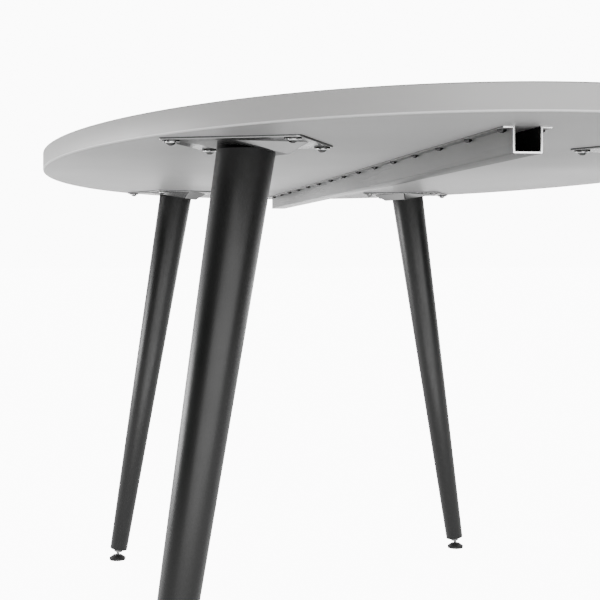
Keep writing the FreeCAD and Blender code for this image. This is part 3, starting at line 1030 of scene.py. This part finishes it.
head_seat = plate_bottom - WASHER_THICKNESS
button_head = domed_screw(
    "button_head", head_radius=0.0055, head_height=SCREW_HEAD_HEIGHT, rim=0.0008,
    shank_radius=0.003, shank_length=0.015, point=0.001,
)
sunk_hexagon(button_head, flats=0.004, depth=0.0022, bottom=-SCREW_HEAD_HEIGHT)
button_set = set_of(button_head, plate_points(), head_seat)
# Painted glint: the rim of each button head is painted near white.
tint_by_height(button_zinc, head_seat - PAINTED_GLINT_RIM[0], head_seat - PAINTED_GLINT_RIM[1], grey(0.97))
hand_over(button_set, "bracket_screw_set", button_zinc, "table", "fasteners", "bracket_screws")

# %% [markdown]
# ## Legs
#
# A leg is a tapered tube. It starts as an open cylinder whose lower ring is scaled down, gets its
# wall from Solidify, and has its two ends broken, because powder coat never leaves a knife edge. A
# plastic plug closes the lower end; it is turned with its threaded bore, which the foot's screw
# goes into. Close to the bracket the coat has painted shade: there it turns to black metal, which
# throws back next to no light.

# %% Draw the legs down to their taper and plug them
LEG_WALL = 0.002
LEG_SIDES = 96
LEG_EASE = 0.0004
PAINTED_SHADE_BAND = (0.0064, 0.0056)
PLUG_LENGTH = 0.028
PLUG_BORE = 0.00405
PLUG_ROUNDING = 0.0008
PLUG_PLAY = 0.0001
BORE_ROOF = 0.001


def leg_model():
    length = LEG_SEAT - LEG_FOOT
    bpy.ops.object.select_all(action="DESELECT")
    bpy.ops.mesh.primitive_cylinder_add(
        vertices=LEG_SIDES, radius=LEG_SEAT_RADIUS, depth=length, end_fill_type="NOTHING",
        location=(0, 0, LEG_FOOT + length / 2),
    )
    leg = bpy.context.object
    bpy.ops.object.transform_apply(location=True)
    edit(leg, "EDGE")
    pick(leg, "edges", lambda edge: all(v.co.z < LEG_FOOT + TINY for v in edge.verts))
    share = LEG_FOOT_RADIUS / LEG_SEAT_RADIUS
    bpy.ops.transform.resize(value=(share, share, 1), center_override=(0, 0, LEG_FOOT))
    outwards()
    done()
    modify(leg, "SOLIDIFY", thickness=LEG_WALL, offset=-1.0, use_even_offset=True)
    soften(leg, LEG_EASE)
    return leg


def plug_model():
    low = span_and_radii("leg_plug_" + FIRST, FIRST)[0]
    body = LEG_FOOT_RADIUS - LEG_WALL - PLUG_PLAY
    stations = [
        (PLUG_BORE, LEG_FOOT + PLUG_LENGTH),
        (body, LEG_FOOT + PLUG_LENGTH),
        (body, LEG_FOOT),
        (LEG_FOOT_RADIUS, LEG_FOOT),
        (LEG_FOOT_RADIUS, low + PLUG_ROUNDING),
        (LEG_FOOT_RADIUS - PLUG_ROUNDING * 0.3, low + PLUG_ROUNDING * 0.3),
        (LEG_FOOT_RADIUS - PLUG_ROUNDING, low),
        (PLUG_BORE, low),
        (PLUG_BORE, LEG_FOOT + PLUG_LENGTH - BORE_ROOF),
    ]
    return turned("plug", stations, LEG_SIDES)


# Painted shade: the top of each leg, under the plate, is made to reflect next to nothing.
painted_shade_above(black_coat, plate_bottom - PAINTED_SHADE_BAND[0], plate_bottom - PAINTED_SHADE_BAND[1])
leg = leg_model()
plug = plug_model()
for corner in CORNERS:
    tube = copy_of(leg)
    stand_on_line(tube, corner)
    hand_over(tube, "leg_shell_" + corner, black_coat, "table", "leg_coat", "leg_tube_" + corner)
    cap = copy_of(plug)
    stand_on_line(cap, corner)
    hand_over(
        cap, "leg_cap_" + corner, black_plastic, "table", "black_plastic", "leg_plug_" + corner
    )
bpy.data.objects.remove(leg)
bpy.data.objects.remove(plug)

# %% [markdown]
# ## Levelling feet
#
# A foot's screw has a ball at its lower end, a neck, a hexagon for a spanner and a thread. The
# thread is a small saw-tooth outline that the Screw modifier winds up the line. The pad under it is
# turned, with the ball's socket sunk into its top, and a ribbed rubber sole is glued below.

# %% Make the levelling feet
BALL_RADIUS = 0.0045
NECK_RADIUS = 0.003
NECK_LOW = 0.0042
OVERLAP = 0.001
HEX_LOW = 0.008
HEX_HIGH = 0.014
HEX_FLATS = 0.014
THREAD_HIGH = 0.056
THREAD_RADIUS = 0.004
THREAD_ROOT = 0.0034
THREAD_PITCH = 0.00125
BALL_HEIGHT = leg_line(FIRST)[0].z
SOLE_THICKNESS = 0.002
SOLE_INSET = 0.0005
SOLE_GROOVE = 0.0006
PAD_RADIUS = 0.016
PAD_EASE = 0.0006
SOCKET_RADIUS = 0.0046


def ball_and_neck():
    stations = []
    for degrees in range(-85, 49, 12):
        angle = math.radians(degrees)
        stations.append((BALL_RADIUS * math.cos(angle), BALL_RADIUS * math.sin(angle)))
    stations += [(NECK_RADIUS, NECK_LOW), (NECK_RADIUS, HEX_LOW + OVERLAP)]
    return turned("ball_and_neck", stations, 32)


def hexagon():
    depth = HEX_HIGH - HEX_LOW
    bpy.ops.object.select_all(action="DESELECT")
    bpy.ops.mesh.primitive_cylinder_add(
        vertices=6, radius=HEX_FLATS / math.sqrt(3), depth=depth,
        location=(0, 0, HEX_LOW + depth / 2),
    )
    grip = bpy.context.object
    bpy.ops.object.transform_apply(location=True)
    cap = HEX_FLATS / 2 * 0.97
    rim = HEX_FLATS / math.sqrt(3) * 1.01
    ease = 0.0006
    outline = [(cap, HEX_LOW), (rim, HEX_LOW + ease), (rim, HEX_HIGH - ease), (cap, HEX_HIGH)]
    carve(grip, turned("chamfer", outline, 48), "INTERSECT")
    return grip


def thread():
    """A saw-tooth outline of one pitch, wound up the line by the Screw modifier."""
    bpy.ops.object.select_all(action="DESELECT")
    bpy.ops.mesh.primitive_plane_add(size=0.001)
    tooth = bpy.context.object
    edit(tooth, "VERT")
    bpy.ops.mesh.select_all(action="SELECT")
    bpy.ops.mesh.merge(type="CENTER")
    bpy.ops.transform.translate(value=(THREAD_ROOT, 0, HEX_HIGH - THREAD_PITCH / 2))
    depth = THREAD_RADIUS - THREAD_ROOT
    for radial, rise in ((depth, 0.42), (0, 0.1), (-depth, 0.42), (0, 0.06)):
        step = {"value": (radial, 0, rise * THREAD_PITCH)}
        bpy.ops.mesh.extrude_vertices_move(TRANSFORM_OT_translate=step)
    done()
    turns = int((THREAD_HIGH - HEX_HIGH) / THREAD_PITCH) - 1
    modify(
        tooth, "SCREW", axis="Z", angle=2 * math.pi, screw_offset=THREAD_PITCH, iterations=turns,
        steps=20, render_steps=20, use_merge_vertices=True, merge_threshold=TINY,
    )
    edit(tooth)
    outwards()
    done()
    return tooth


def screw_core():
    chamfer = 0.001
    stations = [
        (THREAD_ROOT, HEX_HIGH - OVERLAP),
        (THREAD_ROOT, THREAD_HIGH - chamfer),
        (THREAD_ROOT - chamfer, THREAD_HIGH),
    ]
    return turned("core", stations, 40)


def pad_model():
    """Rings from the underside over the rim and the collar down into the socket."""
    low = SOLE_THICKNESS
    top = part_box("foot_pad_" + FIRST)[1].z
    stations = [
        (PAD_RADIUS - PAD_EASE, low),
        (PAD_RADIUS, low + PAD_EASE),
        (PAD_RADIUS, low + 0.0024),
        (PAD_RADIUS - PAD_EASE, low + 0.0032),
        (0.0100, top - 0.0012),
        (0.0087, top - 0.0002),
        (0.0080, top),
        (SOCKET_RADIUS, top),
        (SOCKET_RADIUS, BALL_HEIGHT),
        (0.0042, BALL_HEIGHT - 0.0018),
        (0.0030, BALL_HEIGHT - 0.0035),
        (0.0005, BALL_HEIGHT - 0.0046),
    ]
    return turned("pad", stations, 64)


def sole_model():
    radius = PAD_RADIUS - SOLE_INSET
    groove = SOLE_GROOVE
    stations = [(radius, SOLE_THICKNESS), (radius, 0.0)]
    for share in (0.85, 0.65, 0.45, 0.25):
        stations += [
            (radius * share, 0.0),
            (radius * share - groove / 2, groove),
            (radius * share - groove, groove),
            (radius * share - groove * 1.5, 0.0),
        ]
    return turned("sole", stations, 64)


screw = joined([ball_and_neck(), hexagon(), thread(), screw_core()])
pad = pad_model()
sole = sole_model()
for corner in CORNERS:
    stem = copy_of(screw)
    stand_on_line(stem, corner)
    hand_over(
        stem, "foot_screw_" + corner, zinc_plate, "stem_" + corner, "stem_steel",
        "foot_stem_" + corner,
    )
    ball = leg_line(corner)[0]
    dish = copy_of(pad)
    dish.location = (ball.x, ball.y, 0)
    hand_over(
        dish, "foot_dish_" + corner, black_plastic, "foot_" + corner, "black_plastic",
        "foot_pad_" + corner,
    )
    grip = copy_of(sole)
    grip.location = (ball.x, ball.y, 0)
    hand_over(
        grip, "foot_grip_" + corner, sole_rubber, "foot_" + corner, "sole_rubber",
        "foot_sole_" + corner,
    )
for model in (screw, pad, sole):
    bpy.data.objects.remove(model)

# %% [markdown]
# ## Pieces inside
#
# The board, its threaded inserts and the studs, nuts and discs in the legs are right as the frame
# has them. They only need their finish, in case someone takes the table apart.

# %% Dress the inner pieces
INNER_FINISHES = {
    "tabletop_core": particle_board,
    "board_inserts": turned_brass,
    "leg_top_disc": dull_steel,
    "leg_stud": dull_steel,
    "leg_nut": dull_steel,
}
dressed = 0
for name, node in frame["nodes"].items():
    for start, material in INNER_FINISHES.items():
        if name.startswith(start):
            node.material_slots[0].material = material
            dressed += 1
print("dressed", dressed, "inner pieces")
